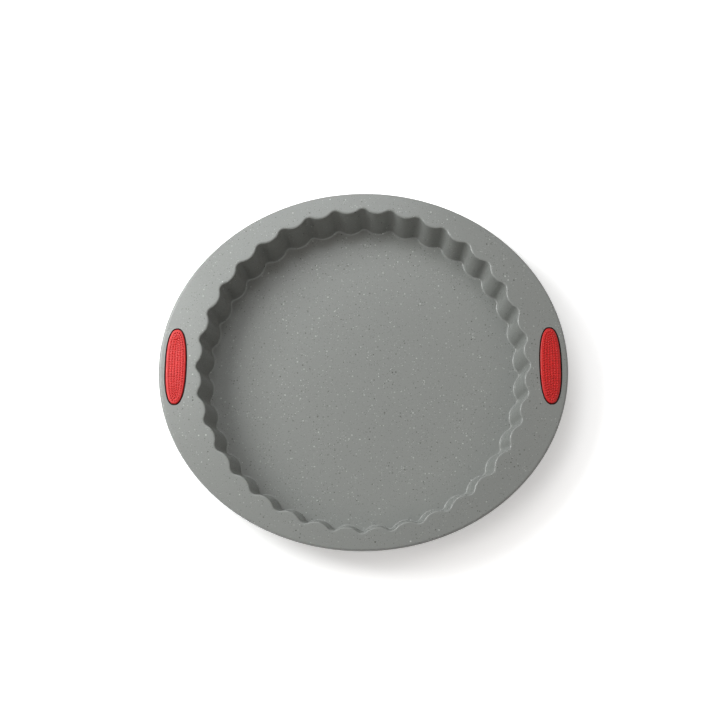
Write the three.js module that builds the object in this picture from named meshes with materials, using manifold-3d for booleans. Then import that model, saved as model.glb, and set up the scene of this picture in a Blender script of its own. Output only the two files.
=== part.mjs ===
// Round fluted tart mould of silicone, with a wide oval rim that carries two inlaid grips.
// Millimetres, +Z up. The origin is the middle of the base, on the surface that the mould stands on.
// The rim is longest along X, and the two grips lie across its ends.
import * as THREE from "three";
import { mergeVertices } from "three/addons/utils/BufferGeometryUtils.js";
import Module from "manifold-3d";

// Fluted pan. A flute is a groove that points outwards and a rib that points inwards.
const OPENING_DIAMETER = 260; // across opposite grooves, at the top of the wall
const HEIGHT = 37; // from the table to the top of the rim, at the ribs
const WALL_LEAN = 4.4; // how far the foot of the wall stands in from its top
const WALL_THICKNESS = 2.2;
const FLOOR_THICKNESS = 2.2;
const FLOOR_FILLET = 1.5; // inside, where the wall meets the floor
const BASE_ROUND = 3; // outside, where the wall meets the base
const FLUTE_COUNT = 36;
const FLUTE_DEPTH = 4;
const GROOVE_SHARE = 0.31; // share of a flute that its groove takes, the rib takes the rest

// Rim, which falls evenly from the ribs to its outer edge
const RIM_WIDTH = 13.7; // from the grooves to the outer edge, at the front and back
const HANDLE_WIDTH = 30.4; // the same, at the two grips
const RIM_THICKNESS = 3;
const RIM_FALL = 1; // how far the outer edge lies below the ribs, at the front and back
const HANDLE_FALL = 3.2; // the same, at the two grips
const FLUTED_EDGE_ROUND = 1.6;
const OUTER_EDGE_ROUND = 1.6;

// Steel hoop in the bead under the outer edge, and the holes left by the pins that held it in the mould
const WIRE_DIAMETER = 2.5;
const BEAD_WALL = 1.4; // silicone round the hoop
const PIN_HOLE_DIAMETER = 3;
const PIN_HOLE_COUNT = 8;

// Grips, each an oval inlay in a pocket of the rim, anchored by pegs through the rim
const GRIP_LENGTH = 60;
const GRIP_WIDTH = 15.8;
const GRIP_SQUARENESS = 2.45; // exponent of the oval, 2 is an ellipse
const GRIP_MARGIN = 6; // from the grip to the outer edge of the rim
const GRIP_GROOVE = 1.1; // width of the open groove round a grip
const GRIP_SINK = 1.6; // depth of the pocket
const GRIP_RISE = 0.8; // how far the grip stands above the rim
const GRIP_SHOULDER = 1; // width of the rounded border of its top
const PEG_COUNT = 3;
const PEG_PITCH = 18;
const PEG_DIAMETER = 4.4;
const PEG_FLARE = 0.8; // how much wider in radius a peg is at its foot
const PEG_LAND = 0.4; // length of that wide foot

// Clearance between pieces that are moulded into each other
const CLEARANCE = 0.3;

// How finely round shapes are cut
const STEPS_PER_FLUTE = 6;
const OVAL_STEPS = 40;
const WIRE_STEPS = 72;
const WIRE_SIDES = 8;
const PEG_SIDES = 16;
const PIN_HOLE_SIDES = 10;

const openingRadius = OPENING_DIAMETER / 2;
const crownReach = openingRadius - FLUTE_DEPTH + FLUTED_EDGE_ROUND; // where the rim is highest, on the ribs
const rimLength = openingRadius + HANDLE_WIDTH; // half the oval rim, along X
const rimBreadth = openingRadius + RIM_WIDTH; // half the oval rim, along Y
const channelRadius = WIRE_DIAMETER / 2 + CLEARANCE;
const beadSize = 2 * (channelRadius + BEAD_WALL);
const gripReach = rimLength - GRIP_MARGIN - GRIP_WIDTH / 2;
const halfRound = 1 - Math.SQRT1_2; // where a round of radius 1 stands at its middle

const silicone = new THREE.MeshStandardMaterial({ color: 0x8f918e, roughness: 0.55, metalness: 0 });
const redSilicone = new THREE.MeshStandardMaterial({ color: 0xb93f3e, roughness: 0.5, metalness: 0 });
const steel = new THREE.MeshStandardMaterial({ color: 0xb8bbbf, roughness: 0.35, metalness: 1 });

const wasm = await Module();
wasm.setup();

// A closed geometry as a solid that can be joined and cut
function solid(geometry) {
  const bare = geometry.clone();
  bare.deleteAttribute("normal");
  bare.deleteAttribute("uv");
  const merged = mergeVertices(bare, 1e-5);
  return new wasm.Manifold(
    new wasm.Mesh({
      numProp: 3,
      vertProperties: new Float32Array(merged.attributes.position.array),
      triVerts: new Uint32Array(merged.index.array),
    }),
  );
}

// A solid as a named mesh
function piece(name, shape, material) {
  const { vertProperties, triVerts } = shape.getMesh();
  const geometry = new THREE.BufferGeometry();
  geometry.setAttribute("position", new THREE.BufferAttribute(vertProperties, 3));
  geometry.setIndex(new THREE.BufferAttribute(triVerts, 1));
  geometry.computeVertexNormals();
  const mesh = new THREE.Mesh(geometry, material);
  mesh.name = name;
  return mesh;
}

// The points of a ring, one for each angle
function ring(steps, pointAt) {
  return Array.from({ length: steps }, (_, step) => pointAt((2 * Math.PI * step) / steps));
}

// A skin over rings of points that all turn the same way. Its ends are closed by a fan to the middle of
// the first and last ring, or the last ring is joined to the first.
function loft(rings, endless = false) {
  const count = rings[0].length;
  const points = rings.flat();
  const faces = [];
  const bands = endless ? rings.length : rings.length - 1;
  for (let band = 0; band < bands; band++) {
    const near = band * count;
    const far = ((band + 1) % rings.length) * count;
    for (let step = 0; step < count; step++) {
      const next = (step + 1) % count;
      faces.push(near + step, near + next, far + step);
      faces.push(near + next, far + next, far + step);
    }
  }
  if (!endless) {
    const last = (rings.length - 1) * count;
    const middles = [rings[0], rings.at(-1)].map((end) =>
      end.reduce((sum, point) => sum.add(point), new THREE.Vector3()).divideScalar(count),
    );
    points.push(...middles);
    for (let step = 0; step < count; step++) {
      const next = (step + 1) % count;
      faces.push(points.length - 2, next, step);
      faces.push(points.length - 1, last + step, last + next);
    }
  }
  const geometry = new THREE.BufferGeometry().setFromPoints(points);
  geometry.setIndex(faces);
  return geometry;
}

// Radius of the fluted wall at an angle, where its grooves reach the given radius.
// A groove and a rib are two arcs that meet in a common tangent.
function fluteRadius(angle, grooveReach) {
  const pitch = (2 * Math.PI * (grooveReach - FLUTE_DEPTH / 2)) / FLUTE_COUNT;
  const lean = 2 * Math.atan((2 * FLUTE_DEPTH) / pitch);
  const arcs = pitch / 2 / Math.sin(lean);
  const grooveArc = GROOVE_SHARE * arcs;
  const ribArc = arcs - grooveArc;
  const turn = (angle * FLUTE_COUNT) / (2 * Math.PI);
  const fromGroove = Math.abs(turn - Math.round(turn)) * pitch;
  if (fromGroove < grooveArc * Math.sin(lean)) {
    return grooveReach - grooveArc + Math.sqrt(grooveArc ** 2 - fromGroove ** 2);
  }
  const fromRib = pitch / 2 - fromGroove;
  return grooveReach - FLUTE_DEPTH + ribArc - Math.sqrt(ribArc ** 2 - fromRib ** 2);
}

// A point of the fluted wall, moved square to it by the given distance, outwards if positive
function flutePoint(angle, grooveReach, outwards, height) {
  const nudge = 1e-4;
  const at = (a) => new THREE.Vector2(Math.cos(a), Math.sin(a)).multiplyScalar(fluteRadius(a, grooveReach));
  const along = at(angle + nudge).sub(at(angle - nudge)).normalize();
  const spot = at(angle).add(new THREE.Vector2(along.y, -along.x).multiplyScalar(outwards));
  return new THREE.Vector3(spot.x, spot.y, height);
}

// Radius of the oval outer edge at an angle, and the height of its top there
function edgeRadius(angle) {
  return (rimLength * rimBreadth) / Math.hypot(rimBreadth * Math.cos(angle), rimLength * Math.sin(angle));
}

function edgeTop(angle) {
  return HEIGHT - RIM_FALL - (HANDLE_FALL - RIM_FALL) * Math.cos(angle) ** 2;
}

// A point of the outer edge, moved square to it by the given distance inwards, below its top
function edgePoint(angle, inwards, below) {
  const spot = new THREE.Vector2(Math.cos(angle), Math.sin(angle)).multiplyScalar(edgeRadius(angle));
  const outwards = new THREE.Vector2(spot.x / rimLength ** 2, spot.y / rimBreadth ** 2).normalize();
  spot.addScaledVector(outwards, -inwards);
  return new THREE.Vector3(spot.x, spot.y, edgeTop(angle) - below);
}

// The point of the rim above or below its falling top, at the plan position of the given point
function onRim(spot, rise) {
  const angle = Math.atan2(spot.y, spot.x);
  const share = (Math.hypot(spot.x, spot.y) - crownReach) / (edgeRadius(angle) - crownReach);
  return new THREE.Vector3(spot.x, spot.y, HEIGHT + (edgeTop(angle) - HEIGHT) * share + rise);
}

// The one-piece silicone moulding, from the middle of its base up the wall and over the rim to its floor
function bodyBlank() {
  const steps = FLUTE_COUNT * STEPS_PER_FLUTE;
  const foot = openingRadius - WALL_LEAN;
  const wall = (outwards, height) => ring(steps, (a) => flutePoint(a, foot, outwards, height));
  const rim = (outwards, rise) =>
    ring(steps, (a) => onRim(flutePoint(a, openingRadius, outwards, 0), rise));
  const edge = (inwards, below) => ring(steps, (a) => edgePoint(a, inwards, below));
  const underBead = ring(steps, (a) => onRim(edgePoint(a, beadSize, 0), -RIM_THICKNESS));
  return loft([
    wall(WALL_THICKNESS - BASE_ROUND, 0),
    wall(WALL_THICKNESS - BASE_ROUND * halfRound, BASE_ROUND * halfRound),
    wall(WALL_THICKNESS, BASE_ROUND),
    rim(WALL_THICKNESS, -RIM_THICKNESS - FLUTED_EDGE_ROUND),
    rim(WALL_THICKNESS + FLUTED_EDGE_ROUND, -RIM_THICKNESS),
    underBead,
    edge(beadSize - OUTER_EDGE_ROUND, beadSize),
    edge(OUTER_EDGE_ROUND, beadSize),
    edge(0, beadSize - OUTER_EDGE_ROUND),
    edge(0, OUTER_EDGE_ROUND),
    edge(OUTER_EDGE_ROUND * halfRound, OUTER_EDGE_ROUND * halfRound),
    edge(OUTER_EDGE_ROUND, 0),
    rim(FLUTED_EDGE_ROUND, 0),
    rim(FLUTED_EDGE_ROUND * halfRound, -FLUTED_EDGE_ROUND * halfRound),
    rim(0, -FLUTED_EDGE_ROUND),
    wall(0, FLOOR_THICKNESS + FLOOR_FILLET),
    wall(-FLOOR_FILLET * halfRound, FLOOR_THICKNESS + FLOOR_FILLET * halfRound),
    wall(-FLOOR_FILLET, FLOOR_THICKNESS),
  ]);
}

// A closed ring of round section along the middle of the bead
function hoop(radius) {
  const middle = beadSize / 2;
  const section = (angle) =>
    ring(WIRE_SIDES, (turn) =>
      edgePoint(angle, middle + radius * Math.cos(turn), middle - radius * Math.sin(turn)),
    );
  return loft(ring(WIRE_STEPS, section), true);
}

// Holes from under the bead to the middle of the hoop
function pinHoles() {
  const depth = beadSize / 2 + CLEARANCE;
  return Array.from({ length: PIN_HOLE_COUNT }, (_, step) => {
    const angle = (2 * Math.PI * (step + 0.5)) / PIN_HOLE_COUNT;
    const hole = new THREE.CylinderGeometry(
      PIN_HOLE_DIAMETER / 2, PIN_HOLE_DIAMETER / 2, depth, PIN_HOLE_SIDES,
    );
    hole.rotateX(Math.PI / 2);
    const middle = edgePoint(angle, beadSize / 2, beadSize / 2 + depth / 2);
    return hole.translate(middle.x, middle.y, middle.z);
  });
}

// The oval of the right grip, smaller by the given inset, above or below the top of the rim
function gripOval(inset, rise) {
  const power = 2 / GRIP_SQUARENESS;
  const curve = (value, half) => Math.sign(value) * Math.abs(value) ** power * (half - inset);
  return ring(OVAL_STEPS, (a) => {
    const across = gripReach + curve(Math.cos(a), GRIP_WIDTH / 2);
    const along = curve(Math.sin(a), GRIP_LENGTH / 2);
    return onRim(new THREE.Vector2(across, along), rise);
  });
}

// The visible oval of a grip
function gripPad() {
  return loft([
    gripOval(0, CLEARANCE - GRIP_SINK),
    gripOval(0, 0),
    gripOval(GRIP_SHOULDER * halfRound, GRIP_RISE * (1 - halfRound)),
    gripOval(GRIP_SHOULDER, GRIP_RISE),
  ]);
}

// The pocket that the pad lies in, open to above
function gripPocket() {
  return loft([gripOval(-GRIP_GROOVE, -GRIP_SINK), gripOval(-GRIP_GROOVE, RIM_THICKNESS)]);
}

// The pegs under a pad, from inside the pad to their foot, which is widest.
// They can be widened and lengthened into the holes that they fill.
function pegs(widening, lengthening) {
  const radius = PEG_DIAMETER / 2 + widening;
  const head = CLEARANCE - GRIP_SINK / 2;
  const waist = -(GRIP_SINK + RIM_THICKNESS) / 2;
  const outline = [
    new THREE.Vector2(0, -RIM_THICKNESS - lengthening),
    new THREE.Vector2(radius + PEG_FLARE, -RIM_THICKNESS - lengthening),
    new THREE.Vector2(radius + PEG_FLARE, PEG_LAND - RIM_THICKNESS),
    new THREE.Vector2(radius, waist),
    new THREE.Vector2(radius, head),
    new THREE.Vector2(0, head),
  ];
  return Array.from({ length: PEG_COUNT }, (_, step) => {
    const along = (step - (PEG_COUNT - 1) / 2) * PEG_PITCH;
    const seat = onRim(new THREE.Vector2(gripReach, along), 0);
    return new THREE.LatheGeometry(outline, PEG_SIDES).rotateX(Math.PI / 2).translate(...seat);
  });
}

const mould = new THREE.Group();
const rightHandle = new THREE.Group();
const leftHandle = new THREE.Group();
leftHandle.rotation.z = Math.PI;
mould.add(rightHandle, leftHandle);

let body = solid(bodyBlank()).subtract(solid(hoop(channelRadius)));
for (const hole of pinHoles()) {
  body = body.subtract(solid(hole));
}
for (const handle of [rightHandle, leftHandle]) {
  handle.updateMatrix();
  for (const cut of [gripPocket(), ...pegs(CLEARANCE, RIM_THICKNESS)]) {
    body = body.subtract(solid(cut.applyMatrix4(handle.matrix)));
  }
}
mould.add(piece("mould_body", body, silicone));
mould.add(piece("rim_hoop", solid(hoop(WIRE_DIAMETER / 2)), steel));

const grip = pegs(0, 0).reduce((pad, peg) => pad.add(solid(peg)), solid(gripPad()));
rightHandle.add(piece("right_grip", grip, redSilicone));
leftHandle.add(piece("left_grip", grip, redSilicone));

export default mould;
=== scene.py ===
# A round fluted tart mould of speckled grey silicone on a white table, with two red grips in its rim.
import math

import bpy
from mathutils import Matrix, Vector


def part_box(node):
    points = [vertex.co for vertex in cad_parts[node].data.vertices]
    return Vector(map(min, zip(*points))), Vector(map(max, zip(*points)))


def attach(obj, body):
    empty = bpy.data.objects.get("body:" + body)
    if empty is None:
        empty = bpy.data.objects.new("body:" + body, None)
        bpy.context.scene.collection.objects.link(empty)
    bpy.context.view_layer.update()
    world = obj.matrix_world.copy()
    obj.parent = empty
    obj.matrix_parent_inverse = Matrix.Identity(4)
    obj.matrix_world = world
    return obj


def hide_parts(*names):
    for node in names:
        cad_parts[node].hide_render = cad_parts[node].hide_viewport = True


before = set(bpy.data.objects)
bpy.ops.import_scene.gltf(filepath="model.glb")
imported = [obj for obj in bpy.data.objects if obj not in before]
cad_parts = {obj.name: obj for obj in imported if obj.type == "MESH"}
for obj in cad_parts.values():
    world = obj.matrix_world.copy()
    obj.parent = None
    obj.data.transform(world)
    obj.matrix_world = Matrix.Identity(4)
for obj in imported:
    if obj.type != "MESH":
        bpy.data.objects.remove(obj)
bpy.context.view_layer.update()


# Rim hoop
# A ring of spring steel wire, bent to the oval of the rim and dipped a little at the two handles.
# It lies on eight pins in the moulding tool, and the grey silicone is moulded round it.
WIRE_RADIUS = 0.00125
WIRE_STEPS = 16
HOOP_STEPS = 360
BEAD_SIZE = 0.0059
rim_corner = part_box("mould_body")[1]
RIM = {
    "Half length": rim_corner.x,
    "Half breadth": rim_corner.y,
    "Top": rim_corner.z,
    "Crown reach": 0.1276,
    "Fall": 0.001,
    "Handle fall": 0.0032,
}
BRIGHT_STEEL = (0.58, 0.59, 0.6, 1)
SCALED_STEEL = (0.46, 0.46, 0.46, 1)
GRAIN_HEIGHT = 0.0001


class Link:
    """An output of a node tree. Sums on it add their Math nodes to the tree."""

    def __init__(self, tree, socket=None):
        self.tree = tree
        self.socket = socket

    def add(self, kind, settings=None, values=None, give=0):
        """Adds a node with its settings, then the values or links of its sockets, and gives one output."""
        node = self.tree.nodes.new(kind)
        for name, value in (settings or {}).items():
            setattr(node, name, value)
        for name, value in (values or {}).items():
            if isinstance(value, Link):
                self.tree.links.new(value.socket, node.inputs[name])
            else:
                node.inputs[name].default_value = value
        return Link(self.tree, node.outputs[give])

    def math(self, operation, *values):
        """Adds a Math node on links or numbers."""
        return self.add("ShaderNodeMath", {"operation": operation}, dict(enumerate(values)))

    def of(self, operation, *others):
        """Adds a Math node on this output, such as its sine."""
        return self.math(operation, self, *others)

    def __add__(self, other):
        return self.math("ADD", self, other)

    def __sub__(self, other):
        return self.math("SUBTRACT", self, other)

    def __rsub__(self, other):
        return self.math("SUBTRACT", other, self)

    def __mul__(self, other):
        return self.math("MULTIPLY", self, other)

    def __truediv__(self, other):
        return self.math("DIVIDE", self, other)

    def __lt__(self, other):
        return self.math("LESS_THAN", self, other)

    __radd__ = __add__
    __rmul__ = __mul__


def plan_of(spot):
    """The two plan coordinates of a point."""
    return [spot.add("ShaderNodeSeparateXYZ", values={0: spot}, give=axis) for axis in ("X", "Y")]


def edge_radius(angle, size):
    """How far the oval edge of the rim lies from the middle, at an angle."""
    long = size["Half length"] * angle.of("SINE")
    broad = size["Half breadth"] * angle.of("COSINE")
    return size["Half length"] * size["Half breadth"] / (long * long + broad * broad).of("SQRT")


def edge_fall(angle, size):
    """How far the edge of the rim lies below its top, at an angle."""
    cosine = angle.of("COSINE")
    return size["Fall"] + (size["Handle fall"] - size["Fall"]) * cosine * cosine


def edge_plan(angle, inwards, size):
    """The plan coordinates of a point that lies square to the edge and this far inside it."""
    x = edge_radius(angle, size) * angle.of("COSINE")
    y = edge_radius(angle, size) * angle.of("SINE")
    across = x / (size["Half length"] * size["Half length"])
    along = y / (size["Half breadth"] * size["Half breadth"])
    slope = (across * across + along * along).of("SQRT")
    return x - inwards * across / slope, y - inwards * along / slope


def moved_to(geometry, x, y, z):
    """Puts the points of a geometry at these coordinates."""
    place = geometry.add("ShaderNodeCombineXYZ", values={"X": x, "Y": y, "Z": z})
    return geometry.add("GeometryNodeSetPosition", values={"Geometry": geometry, "Position": place})


def grow(name, seed, sizes, shape, material):
    """Makes a piece whose mesh is what a tree of Geometry Nodes makes of a seed mesh."""
    tree = bpy.data.node_groups.new(name, "GeometryNodeTree")
    tree.interface.new_socket("Geometry", in_out="OUTPUT", socket_type="NodeSocketGeometry")
    tree.interface.new_socket("Geometry", in_out="INPUT", socket_type="NodeSocketGeometry")
    for size in sizes:
        tree.interface.new_socket(size, in_out="INPUT", socket_type="NodeSocketFloat")
    inputs = tree.nodes.new("NodeGroupInput").outputs
    made = shape({socket.name: Link(tree, socket) for socket in inputs if socket.name})
    made = made.add("GeometryNodeRealizeInstances", values={"Geometry": made})
    made = made.add("GeometryNodeSetMaterial", values={"Geometry": made, "Material": material})
    tree.links.new(made.socket, tree.nodes.new("NodeGroupOutput").inputs[0])
    piece = bpy.data.objects.new(name, seed)
    bpy.context.scene.collection.objects.link(piece)
    modifier = piece.modifiers.new(name, "NODES")
    modifier.node_group = tree
    for socket in tree.interface.items_tree:
        if socket.name in sizes:
            modifier[socket.identifier] = sizes[socket.name]
    settled = piece.evaluated_get(bpy.context.evaluated_depsgraph_get())
    mesh = bpy.data.meshes.new_from_object(settled)
    piece.modifiers.remove(modifier)
    piece.data = mesh
    return piece


def finish_of(name):
    """A new material, as the start of its nodes, with its surface shader."""
    material = bpy.data.materials.new(name)
    material.use_nodes = True
    return material, Link(material.node_tree), material.node_tree.nodes["Principled BSDF"]


def feed(shader, name, link):
    """Links an output to a socket of the surface shader."""
    link.tree.links.new(link.socket, shader.inputs[name])


def grain(nodes, scale, detail=2.0):
    """A soft random value from 0 to 1 that changes over one part in scale of a metre."""
    place = nodes.add("ShaderNodeTexCoord", give="Object")
    return nodes.add("ShaderNodeTexNoise", values={"Vector": place, "Scale": scale, "Detail": detail})


def mixed(share, first, second):
    """A colour between two others."""
    return share.add("ShaderNodeMix", {"data_type": "RGBA"}, {0: share, 6: first, 7: second}, give=2)


def bumped(shader, pattern, strength):
    """Roughens the surface with a pattern, in its shading alone."""
    values = {"Height": pattern, "Distance": GRAIN_HEIGHT, "Strength": strength}
    feed(shader, "Normal", pattern.add("ShaderNodeBump", values=values))


def drawn_steel():
    """Bright wire, with the dull drawing marks of the die and a little grey scale."""
    material, nodes, shader = finish_of("drawn_steel")
    marks = grain(nodes, 900, detail=3.0)
    scale = grain(nodes, 60)
    feed(shader, "Base Color", mixed(scale, BRIGHT_STEEL, SCALED_STEEL))
    feed(shader, "Roughness", 0.26 + 0.18 * marks)
    bumped(shader, marks, 0.15)
    shader.inputs["Metallic"].default_value = 1
    return material


def hoop_shape(part):
    """A round wire along the oval edge, in the middle of the bead."""
    start = part["Half length"]
    ring = start.add(
        "GeometryNodeCurvePrimitiveCircle", {"mode": "RADIUS"}, {"Resolution": HOOP_STEPS, "Radius": 1.0}
    )
    x, y = plan_of(start.add("GeometryNodeInputPosition"))
    angle = y.of("ARCTAN2", x)
    middle = part["Bead size"] / 2
    height = part["Top"] - edge_fall(angle, part) - middle
    path = moved_to(ring, *edge_plan(angle, middle, part), height)
    section = start.add(
        "GeometryNodeCurvePrimitiveCircle",
        {"mode": "RADIUS"},
        {"Resolution": WIRE_STEPS, "Radius": part["Wire radius"]},
    )
    return start.add("GeometryNodeCurveToMesh", values={"Curve": path, "Profile Curve": section})


hoop_sizes = {**RIM, "Bead size": BEAD_SIZE, "Wire radius": WIRE_RADIUS}
rim_hoop = grow("steel_rim_hoop", bpy.data.meshes.new("hoop"), hoop_sizes, hoop_shape, drawn_steel())
rim_hoop.data.shade_smooth()
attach(rim_hoop, "root")
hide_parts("rim_hoop")


# Mould body
# The pan and its wide rim are one moulding of grey silicone with light and dark flecks mixed in.
# Its wall is folded into 36 flutes, and it is pressed round the hoop in a heated steel tool.
FLUTES = 36
STEPS_PER_FLUTE = 26
CLOSER_IN_GROOVES = 0.4
FLUTE = {"Flutes": FLUTES, "Flute depth": 0.004, "Groove share": 0.31}
OPENING_REACH = 0.13
FOOT_REACH = 0.1256
WALL = 0.0022
FLOOR = 0.0022
FLOOR_FILLET = 0.0015
BASE_ROUND = 0.003
RIM_THICKNESS = 0.003
EDGE_ROUND = 0.0016
FLAT_MARGIN = 0.0005
PLAIN_GREY = (0.2505, 0.2585, 0.2463, 1)
CLOUDY_GREY = (0.2651, 0.2735, 0.2607, 1)
DARK_FLECK = (0.045, 0.043, 0.038, 1)
PALE_FLECK = (0.62, 0.64, 0.62, 1)
PALE_SHARE = 0.34

# What a line round the section says: the reach of the flutes and how far outside them it lies, its share
# of the oval edge and how far inside that it lies, its height, how much it follows the fall of the rim,
# and how far it is spread from the middle
STATION = ("reach", "outwards", "share", "inwards", "height", "follow", "spread")


def wall_line(outwards, height, up=0.0):
    """A line of the section on the wall, from its foot at 0 up to the rim at 1."""
    return (FOOT_REACH + (OPENING_REACH - FOOT_REACH) * up, outwards, 0, 0, height, up, 1)


def rim_line(outwards, rise):
    """A line that follows the flutes on the rim, above or below its top."""
    return (OPENING_REACH, outwards, 0, 0, RIM["Top"] + rise, 1, 1)


def edge_line(inwards, below):
    """A line that follows the oval edge."""
    return (OPENING_REACH, 0, 1, inwards, RIM["Top"] - below, 1, 1)


def inner_line(line, spread):
    """The same line drawn together towards the middle."""
    return (*line[:-1], spread)


def run(start, end, steps=8):
    """Lines from one to before another, closer together at the two ends."""
    shares = [(1 - math.cos(math.pi * step / steps)) / 2 for step in range(steps)]
    return [tuple(a + (b - a) * share for a, b in zip(start, end)) for share in shares]


def bend(line, start, end, level_first, steps=6):
    """Lines of a quarter round from one section point to before another."""
    lines = []
    for step in range(steps):
        turn = math.pi / 2 * step / steps
        early, late = math.sin(turn), 1 - math.cos(turn)
        across, up = (early, late) if level_first else (late, early)
        lines.append(line(start[0] + (end[0] - start[0]) * across, start[1] + (end[1] - start[1]) * up))
    return lines


def body_section():
    """The lines round the section, from the middle of the base over the rim to the middle of the floor."""
    base = wall_line(WALL - BASE_ROUND, 0)
    neck = (WALL, -RIM_THICKNESS - EDGE_ROUND)
    under_rim = (WALL + EDGE_ROUND, -RIM_THICKNESS)
    floor_edge = wall_line(-FLOOR_FILLET - FLAT_MARGIN, FLOOR)
    foot = wall_line(0, FLOOR + FLOOR_FILLET)
    bead_inside = BEAD_SIZE - EDGE_ROUND
    return [
        inner_line(base, 0.4),
        inner_line(base, 0.8),
        *bend(wall_line, (WALL - BASE_ROUND, 0), (WALL, BASE_ROUND), True),
        *run(wall_line(WALL, BASE_ROUND), wall_line(WALL, RIM["Top"] + neck[1], 1)),
        *bend(rim_line, neck, under_rim, False),
        *run(rim_line(*under_rim), edge_line(BEAD_SIZE, RIM_THICKNESS)),
        *run(edge_line(BEAD_SIZE, RIM_THICKNESS), edge_line(bead_inside, BEAD_SIZE), 5),
        edge_line(bead_inside, BEAD_SIZE),
        *bend(edge_line, (EDGE_ROUND, BEAD_SIZE), (0, BEAD_SIZE - EDGE_ROUND), True),
        edge_line(0, BEAD_SIZE - EDGE_ROUND),
        *bend(edge_line, (0, EDGE_ROUND), (EDGE_ROUND, 0), False),
        *run(edge_line(EDGE_ROUND, 0), rim_line(EDGE_ROUND, 0), 10),
        *bend(rim_line, (EDGE_ROUND, 0), (0, -EDGE_ROUND), True),
        *run(wall_line(0, RIM["Top"] - EDGE_ROUND, 1), foot, 10),
        *bend(wall_line, (0, FLOOR + FLOOR_FILLET), (-FLOOR_FILLET, FLOOR), False),
        wall_line(-FLOOR_FILLET, FLOOR),
        floor_edge,
        inner_line(floor_edge, 0.8),
        inner_line(floor_edge, 0.4),
    ]


def skin(name, rings):
    """A closed mesh over rings of points, which ends in the middle of its first and last ring."""
    steps = len(rings[0])
    points = [point for ring in rings for point in ring]
    for end in (rings[0], rings[-1]):
        points.append([sum(values) / steps for values in zip(*end)])
    last = (len(rings) - 1) * steps
    faces = []
    for step in range(steps):
        after = (step + 1) % steps
        for row in range(0, last, steps):
            faces.append((row + step, row + after, row + steps + after, row + steps + step))
        faces.append((after, step, len(points) - 2))
        faces.append((last + step, last + after, len(points) - 1))
    mesh = bpy.data.meshes.new(name)
    mesh.from_pydata(points, [], faces)
    return mesh


def body_seed():
    """A plain drum with the numbers of its section on each of its points."""
    section = body_section()
    turns = [step / STEPS_PER_FLUTE for step in range(FLUTES * STEPS_PER_FLUTE)]
    closer = [turn - CLOSER_IN_GROOVES * math.sin(2 * math.pi * turn) / (2 * math.pi) for turn in turns]
    angles = [2 * math.pi * turn / FLUTES for turn in closer]
    mesh = skin("body", [[(math.cos(a), math.sin(a), line[4]) for a in angles] for line in section])
    middles = [inner_line(section[0], 0), inner_line(section[-1], 0)]
    lines = [line for line in section for _ in angles] + middles
    columns = {name: [line[index] for line in lines] for index, name in enumerate(STATION)}
    columns["angle"] = angles * len(section) + [0, 0]
    for name, column in columns.items():
        mesh.attributes.new(name, "FLOAT", "POINT").data.foreach_set("value", column)
    return mesh


def rim_fall(x, y, size):
    """How far the top of the rim has fallen at a place of its plan."""
    angle = y.of("ARCTAN2", x)
    out = (x * x + y * y).of("SQRT") - size["Crown reach"]
    return edge_fall(angle, size) * out / (edge_radius(angle, size) - size["Crown reach"])


def flute_plan(angle, reach, outwards, size):
    """The plan coordinates of a point that lies square to the fluted wall and this far outside it.
    A groove and a rib are two arcs that meet in a common tangent."""
    middle = reach - size["Flute depth"] / 2
    pitch = middle * (2 * math.pi) / size["Flutes"]
    lean = 2 * (2 * size["Flute depth"] / pitch).of("ARCTANGENT")
    arcs = pitch / 2 / lean.of("SINE")
    groove = size["Groove share"] * arcs
    rib = arcs - groove
    turn = angle * size["Flutes"] / (2 * math.pi)
    from_groove = (turn - turn.of("ROUND")) * pitch
    side = from_groove.of("SIGN")
    from_rib = pitch / 2 - from_groove * side
    in_groove = from_groove * side < groove * lean.of("SINE")
    groove_rise = (groove * groove - from_groove * from_groove).of("MAXIMUM", 1e-9).of("SQRT")
    rib_rise = (rib * rib - from_rib * from_rib).of("MAXIMUM", 1e-9).of("SQRT")
    groove_radius = reach - groove + groove_rise
    rib_radius = reach - size["Flute depth"] + rib - rib_rise
    radius = rib_radius + in_groove * (groove_radius - rib_radius)
    groove_slope = -1 * from_groove / groove_rise
    rib_slope = -1 * side * from_rib / rib_rise
    slope = (rib_slope + in_groove * (groove_slope - rib_slope)) * middle
    length = (radius * radius + slope * slope).of("SQRT")
    out = radius + outwards * radius / length
    aside = outwards * slope / length
    sine, cosine = angle.of("SINE"), angle.of("COSINE")
    return out * cosine + aside * sine, out * sine - aside * cosine


def body_shape(part):
    """Puts each point of the drum where the numbers of its section say."""
    line = {
        name: part["Top"].add("GeometryNodeInputNamedAttribute", {"data_type": "FLOAT"}, {"Name": name})
        for name in (*STATION, "angle")
    }
    flute = flute_plan(line["angle"], line["reach"], line["outwards"], part)
    edge = edge_plan(line["angle"], line["inwards"], part)
    x, y = ((a + (b - a) * line["share"]) * line["spread"] for a, b in zip(flute, edge))
    height = line["height"] - line["follow"] * rim_fall(x, y, part)
    return moved_to(part["Geometry"], x, y, height)


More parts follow.
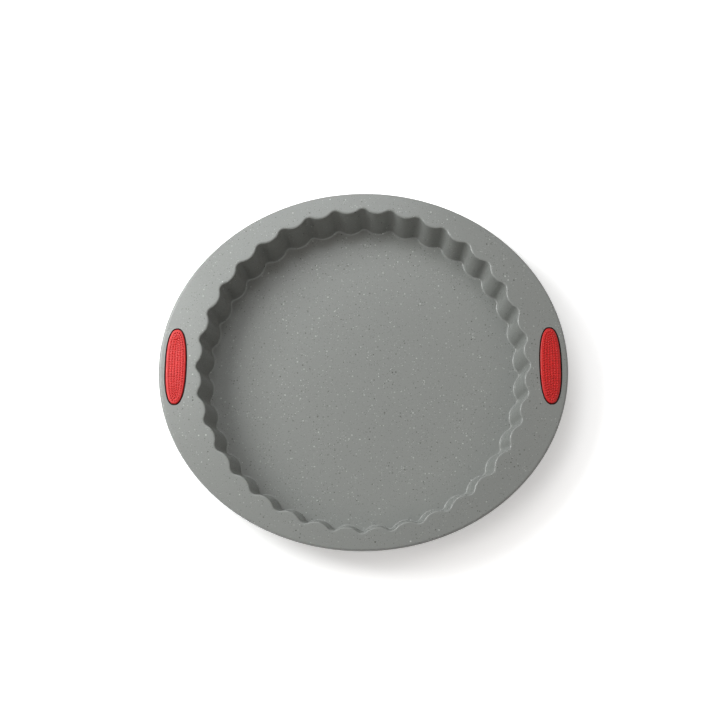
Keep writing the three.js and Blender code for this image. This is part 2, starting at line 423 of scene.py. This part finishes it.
def flecked(nodes, colour, scale, width, strength):
    """Strews small flecks over a colour, dark and pale ones of many sizes, fainter in some patches."""
    cells = {"Vector": nodes.add("ShaderNodeTexCoord", give="Object"), "Scale": scale}
    near = nodes.add("ShaderNodeTexVoronoi", values=cells, give="Distance")
    draw = nodes.add("ShaderNodeTexVoronoi", values=cells, give="Color")
    tone, size, depth = (
        nodes.add("ShaderNodeSeparateColor", values={0: draw}, give=channel)
        for channel in ("Red", "Green", "Blue")
    )
    edge = width * (0.3 + 0.7 * size)
    patches = 3.0 * grain(nodes, 70) - 0.5
    cover = strength * (0.2 + depth * depth) * patches
    ramp = {"Value": near, "From Min": edge, "From Max": 0.5 * edge, "To Min": 0.0, "To Max": cover}
    fleck = nodes.add("ShaderNodeMapRange", {"interpolation_type": "SMOOTHSTEP"}, ramp)
    return mixed(fleck, colour, mixed(tone < PALE_SHARE, DARK_FLECK, PALE_FLECK))


def flecked_silicone():
    """Satin grey silicone, slightly cloudy, with light and dark flecks and a faint moulded grain."""
    material, nodes, shader = finish_of("flecked_silicone")
    grey = mixed(grain(nodes, 35, detail=3.0), PLAIN_GREY, CLOUDY_GREY)
    fine_flecked = flecked(nodes, grey, scale=760, width=0.34, strength=0.8)
    feed(shader, "Base Color", flecked(nodes, fine_flecked, scale=330, width=0.28, strength=0.7))
    skin_grain = grain(nodes, 1600)
    feed(shader, "Roughness", 0.24 + 0.1 * skin_grain)
    bumped(shader, skin_grain, 0.08)
    shader.inputs["Specular IOR Level"].default_value = 0.55
    return material


mould_body = grow("silicone_mould_body", body_seed(), {**RIM, **FLUTE}, body_shape, flecked_silicone())

# The pins of the tool leave holes under the rim, which end at the hoop
CLEARANCE = 0.0003
PIN_HOLES = 8
PIN = {"Hole radius": 0.0015, "Hole depth": BEAD_SIZE / 2 + CLEARANCE}


def pin_hole_shape(part):
    """A round bore at each pin, from the middle of the hoop down."""
    start = part["Top"]
    ring = start.add("GeometryNodeMeshCircle", values={"Vertices": PIN_HOLES, "Radius": 1.0})
    x, y = plan_of(start.add("GeometryNodeInputPosition"))
    angle = y.of("ARCTAN2", x) + math.pi / PIN_HOLES
    middle = part["Bead size"] / 2
    height = part["Top"] - edge_fall(angle, part) - middle - part["Hole depth"] / 2
    spots = moved_to(ring, *edge_plan(angle, middle, part), height)
    bore = {"Vertices": 24, "Radius": part["Hole radius"], "Depth": part["Hole depth"]}
    hole = start.add("GeometryNodeMeshCylinder", values=bore)
    return start.add("GeometryNodeInstanceOnPoints", values={"Points": spots, "Instance": hole})


def cut(piece, tool, operation):
    """Cuts a tool out of a piece, or joins it on, and leaves a plain mesh."""
    modifier = piece.modifiers.new("cut", "BOOLEAN")
    modifier.solver = "MANIFOLD"
    modifier.operation = operation
    modifier.material_mode = "TRANSFER"
    modifier.object = tool
    settled = piece.evaluated_get(bpy.context.evaluated_depsgraph_get())
    mesh = bpy.data.meshes.new_from_object(settled)
    piece.modifiers.remove(modifier)
    piece.data = mesh
    bpy.data.objects.remove(tool)


pin_sizes = {**RIM, "Bead size": BEAD_SIZE, **PIN}
pin_holes = grow("pin_holes", bpy.data.meshes.new("pins"), pin_sizes, pin_hole_shape, None)
cut(mould_body, pin_holes, "DIFFERENCE")

# Each handle has an oval pocket for its grip, with three holes through the rim that widen below
GRIP_LENGTH = 0.06
GRIP_WIDTH = 0.0158
GRIP_SQUARENESS = 2.45
GRIP_GROOVE = 0.0011
GRIP_SINK = 0.0016
PEG_ALONG = (-0.018, 0, 0.018)
PEG_RADIUS = 0.0022
PEG_FLARE = 0.0008
PEG_LAND = 0.0004
# Painted shade for the groove round each grip: the dark colour given to the faces of each pocket
GROOVE_SHADE_DARK = (0.018, 0.0095, 0.0085, 1)
GROOVE_SHADE_MOTTLED = (0.038, 0.018, 0.016, 1)
grip_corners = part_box("right_grip")
GRIP_REACH = (grip_corners[0].x + grip_corners[1].x) / 2


def oval_ring(inset, rise, steps=128):
    """A ring round a grip, smaller by the inset."""
    ring = []
    for step in range(steps):
        turn = 2 * math.pi * step / steps
        across, along = (
            math.copysign(abs(value) ** (2 / GRIP_SQUARENESS), value) * (size / 2 - inset)
            for value, size in ((math.cos(turn), GRIP_WIDTH), (math.sin(turn), GRIP_LENGTH))
        )
        ring.append((GRIP_REACH + across, along, rise))
    return ring


def peg_rings(along, widening, lengthening, steps=32):
    """The rings of a round peg with a wider foot, or of its hole."""
    foot = -RIM_THICKNESS - lengthening
    shank = PEG_RADIUS + widening
    profile = [
        (shank + PEG_FLARE, foot),
        (shank + PEG_FLARE, PEG_LAND - RIM_THICKNESS),
        (shank, -(GRIP_SINK + RIM_THICKNESS) / 2),
        (shank, -GRIP_SINK / 2),
    ]
    angles = [2 * math.pi * step / steps for step in range(steps)]
    turns = [(math.cos(angle), math.sin(angle)) for angle in angles]
    return [
        [(GRIP_REACH + radius * cosine, along + radius * sine, height) for cosine, sine in turns]
        for radius, height in profile
    ]


def laid_on_rim(part):
    """Lifts a flat shape onto the falling top of the rim."""
    place = part["Top"].add("GeometryNodeInputPosition")
    x, y = plan_of(place)
    z = place.add("ShaderNodeSeparateXYZ", values={0: place}, give="Z")
    return moved_to(part["Geometry"], x, y, z + part["Top"] - rim_fall(x, y, part))


def dark_bond():
    """Painted shade: a dark colour on the faces of each pocket and peg hole, seen as a dark line round
    each grip.
    """
    material, nodes, shader = finish_of("dark_bond")
    patchiness = grain(nodes, 500)
    feed(shader, "Base Color", mixed(patchiness, GROOVE_SHADE_DARK, GROOVE_SHADE_MOTTLED))
    feed(shader, "Roughness", 0.55 + 0.25 * patchiness)
    bumped(shader, patchiness, 0.2)
    shader.inputs["Specular IOR Level"].default_value = 0.3
    return material


def half_turned(piece, name):
    """A copy of a piece, half a turn round the middle of the mould."""
    other = bpy.data.objects.new(name, piece.data.copy())
    other.data.transform(Matrix.Rotation(math.pi, 4, "Z"))
    bpy.context.scene.collection.objects.link(other)
    return other


# Each pocket and peg hole passes its dark painted-shade colour to the faces it cuts
pocket_shade = dark_bond()
hollows = [[oval_ring(-GRIP_GROOVE, -GRIP_SINK), oval_ring(-GRIP_GROOVE, RIM_THICKNESS)]]
hollows += [peg_rings(along, CLEARANCE, RIM_THICKNESS) for along in PEG_ALONG]
for rings in hollows:
    hollow = grow("hollow", skin("hollow", rings), RIM, laid_on_rim, pocket_shade)
    cut(mould_body, half_turned(hollow, "other_hollow"), "DIFFERENCE")
    cut(mould_body, hollow, "DIFFERENCE")
mould_body.data.shade_smooth()
mould_body.data.set_sharp_from_angle(angle=math.radians(40))
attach(mould_body, "root")
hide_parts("mould_body")


# Grips
# Two oval inlays of red silicone, moulded into the pockets of the rim and through its three holes each,
# so that their plugs hold them from below. They stand a little proud, with rows of low pips for a hold.
GRIP_RISE = 0.0008
SHOULDER_ROUND = 0.001
SHOULDER_STEPS = 6
TOP_INSETS = (0.0003, 0.002, 0.004)
PIP_ROWS = (0.0023, 0.0045, 0.0067)
PIP = {"Pip pitch": 0.002, "Pip radius": 0.0008}
PIP_FLATNESS = 0.9
DEEP_RED = (0.56, 0.014, 0.013, 1)
BRIGHT_RED = (0.72, 0.032, 0.03, 1)


def red_silicone():
    """Satin red silicone, a little uneven in colour, with a fine moulded grain."""
    material, nodes, shader = finish_of("red_silicone")
    cloud = grain(nodes, 220, detail=3.0)
    feed(shader, "Base Color", mixed(cloud, DEEP_RED, BRIGHT_RED))
    skin_grain = grain(nodes, 2200)
    feed(shader, "Roughness", 0.3 + 0.12 * skin_grain)
    bumped(shader, skin_grain, 0.15)
    shader.inputs["Specular IOR Level"].default_value = 0.36
    return material


def pip_rows():
    """Closed rows of edges that follow the outline of the grip."""
    points, edges = [], []
    for inset in PIP_ROWS:
        ring = oval_ring(inset, GRIP_RISE)
        first = len(points)
        points += ring
        edges += [(first + step, first + (step + 1) % len(ring)) for step in range(len(ring))]
    mesh = bpy.data.meshes.new("pip_rows")
    mesh.from_pydata(points, edges, [])
    return mesh


def pip_shape(part):
    """Slightly flattened balls along the rows, laid on the rim."""
    rows = part["Top"].add("GeometryNodeMeshToCurve", values={"Mesh": part["Geometry"]})
    spacing = {"Curve": rows, "Length": part["Pip pitch"]}
    spots = rows.add("GeometryNodeResampleCurve", {"mode": "LENGTH"}, spacing)
    roundness = {"Segments": 10, "Rings": 6, "Radius": part["Pip radius"]}
    ball = rows.add("GeometryNodeMeshUVSphere", values=roundness)
    pip = rows.add("GeometryNodeTransform", values={"Geometry": ball, "Scale": (1, 1, PIP_FLATNESS)})
    pips = rows.add("GeometryNodeInstanceOnPoints", values={"Points": spots, "Instance": pip})
    pips = rows.add("GeometryNodeRealizeInstances", values={"Geometry": pips})
    return laid_on_rim({**part, "Geometry": pips})


red = red_silicone()
pad_rings = [oval_ring(0, CLEARANCE - GRIP_SINK)]
for step in range(SHOULDER_STEPS + 1):
    turn = math.pi / 2 * step / SHOULDER_STEPS
    pad_rings.append(oval_ring(SHOULDER_ROUND * (1 - math.cos(turn)), GRIP_RISE * math.sin(turn)))
pad_rings += [oval_ring(SHOULDER_ROUND + inset, GRIP_RISE) for inset in TOP_INSETS]
right_grip = grow("red_right_grip", skin("pad", pad_rings), RIM, laid_on_rim, red)
for along in PEG_ALONG:
    peg = grow("peg", skin("peg", peg_rings(along, 0, 0)), RIM, laid_on_rim, red)
    cut(right_grip, peg, "UNION")
cut(right_grip, grow("pips", pip_rows(), {**RIM, **PIP}, pip_shape, red), "UNION")
left_grip = half_turned(right_grip, "red_left_grip")
for grip, node in ((right_grip, "right_grip"), (left_grip, "left_grip")):
    grip.data.shade_smooth()
    grip.data.set_sharp_from_angle(angle=math.radians(50))
    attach(grip, "root")
    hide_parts(node)


# Table and light
# The mould stands on a white table, in a large soft light from the left and a little behind it, with
# three weaker panels round it. The camera looks down from the front, almost square to the rim.
scene = bpy.context.scene
scene.view_settings.view_transform = "Standard"


def seen_by_camera(nodes):
    """1 for rays from the camera and for mirrored or refracted ones, else 0."""
    rays = ("Is Camera Ray", "Is Glossy Ray", "Is Transmission Ray")
    camera_ray, glossy_ray, clear_ray = (nodes.add("ShaderNodeLightPath", give=ray) for ray in rays)
    return camera_ray.of("MAXIMUM", glossy_ray).of("MAXIMUM", clear_ray)


def ramp_to_1(value, start, end):
    """A value that grows softly from 0 to 1 as another goes from its start to its end."""
    ramp = {"Value": value, "From Min": start, "From Max": end}
    return value.add("ShaderNodeMapRange", {"interpolation_type": "SMOOTHSTEP"}, ramp)


def white_table():
    """Matt white board. The camera sees it brighter than it lights the mould, so that it runs into the
    white room, and looks through it from below, so that the underside of the mould shows."""
    material, nodes, shader = finish_of("white_table")
    fibre = grain(nodes, 400)
    feed(shader, "Base Color", mixed(fibre, (0.86, 0.86, 0.86, 1), (0.9, 0.9, 0.9, 1)))
    shader.inputs["Roughness"].default_value = 0.9
    shader.inputs["Specular IOR Level"].default_value = 0
    board = Link(nodes.tree, shader.outputs[0])
    x, y = plan_of(nodes.add("ShaderNodeTexCoord", give="Object"))
    across, along = x / RIM["Half length"], y / RIM["Half breadth"]
    reach = (across * across + along * along).of("SQRT")
    # Painted shade and light round the mould: the camera's glow is dimmer next to the rim and brighter
    # further out, so the mould's shadow on the table is darker close by and fades out sooner
    under_rim, beside_rim, far_off = ((level, level, level, 1) for level in (0.33, 0.57, 1.0))
    painted_shadow_glow = mixed(ramp_to_1(reach, 0.99, 1.16), under_rim, beside_rim)
    glow_colour = mixed(ramp_to_1(reach, 1.5, 4.0), painted_shadow_glow, far_off)
    glow = nodes.add("ShaderNodeEmission", values={"Color": glow_colour})
    sheen = nodes.add("ShaderNodeBsdfDiffuse", values={"Color": (0.26, 0.26, 0.26, 1)})
    extra = nodes.add("ShaderNodeAddShader", values={0: sheen, 1: glow})
    brighter = nodes.add("ShaderNodeAddShader", values={0: board, 1: extra})
    from_above = nodes.add("ShaderNodeMixShader", values={0: seen_by_camera(nodes), 1: board, 2: brighter})
    from_below = nodes.add("ShaderNodeNewGeometry", give="Backfacing")
    clear = nodes.add("ShaderNodeBsdfTransparent")
    shown = nodes.add("ShaderNodeMixShader", values={0: from_below, 1: from_above, 2: clear})
    nodes.tree.links.new(shown.socket, nodes.tree.nodes["Material Output"].inputs["Surface"])
    return material


TABLE_HALF = 1.5
TABLE_GAP = 0.0002
table_mesh = bpy.data.meshes.new("table")
corners = [(x * TABLE_HALF, y * TABLE_HALF, -TABLE_GAP) for x, y in ((-1, -1), (1, -1), (1, 1), (-1, 1))]
table_mesh.from_pydata(corners, [], [(0, 1, 2, 3)])
table_mesh.materials.append(white_table())
table = bpy.data.objects.new("table", table_mesh)
scene.collection.objects.link(table)

room = bpy.data.worlds.new("white_room")
room.use_nodes = True
scene.world = room
room_nodes = Link(room.node_tree)
fill = room.node_tree.nodes["Background"]
fill.inputs["Color"].default_value = (1, 1, 1, 1)
fill.inputs["Strength"].default_value = 0.05
bright = room_nodes.add("ShaderNodeBackground", values={"Color": (1, 1, 1, 1), "Strength": 1.0})
fill_light = Link(room.node_tree, fill.outputs[0])
shares = {0: seen_by_camera(room_nodes), 1: fill_light, 2: bright}
shown_room = room_nodes.add("ShaderNodeMixShader", values=shares)
room.node_tree.links.new(shown_room.socket, room.node_tree.nodes["World Output"].inputs["Surface"])

# Each lamp's azimuth and elevation in degrees, its width, power and colour, and if it makes highlights
LAMPS = {
    "soft_box": (157, 40, 0.5, 8.15, (0.97, 1.0, 0.995), True),
    "back_panel": (104, 50, 0.5, 2.0, (0.95, 0.98, 1.0), True),
    "right_panel": (355, 52, 0.9, 1.55, (1.0, 0.94, 0.89), False),
    "front_panel": (210, 40, 0.5, 1.5, (1.0, 0.94, 0.9), False),
}
LAMP_HEIGHT = 0.5
LAMP_DISTANCE = 1.0
for lamp_name, (azimuth, elevation, width, power, colour, highlights) in LAMPS.items():
    light = bpy.data.lights.new(lamp_name, "AREA")
    light.shape = "RECTANGLE"
    light.size, light.size_y = width, LAMP_HEIGHT
    light.energy, light.color = power, colour
    stand = bpy.data.objects.new(lamp_name, light)
    turn, lift = math.radians(azimuth), math.radians(elevation)
    level = LAMP_DISTANCE * math.cos(lift)
    stand.location = (level * math.cos(turn), level * math.sin(turn), LAMP_DISTANCE * math.sin(lift))
    stand.rotation_euler = stand.location.to_track_quat("Z", "Y").to_euler()
    stand.visible_camera = False
    stand.visible_glossy = highlights
    scene.collection.objects.link(stand)

camera = bpy.data.cameras.new("camera")
camera.lens = 63.41
camera_stand = bpy.data.objects.new("camera", camera)
camera_stand.location = (0.026, -0.2394, 0.9962)
camera_stand.rotation_euler = [math.radians(turn) for turn in (14.259, 1.601, 0.244)]
scene.collection.objects.link(camera_stand)
scene.camera = camera_stand
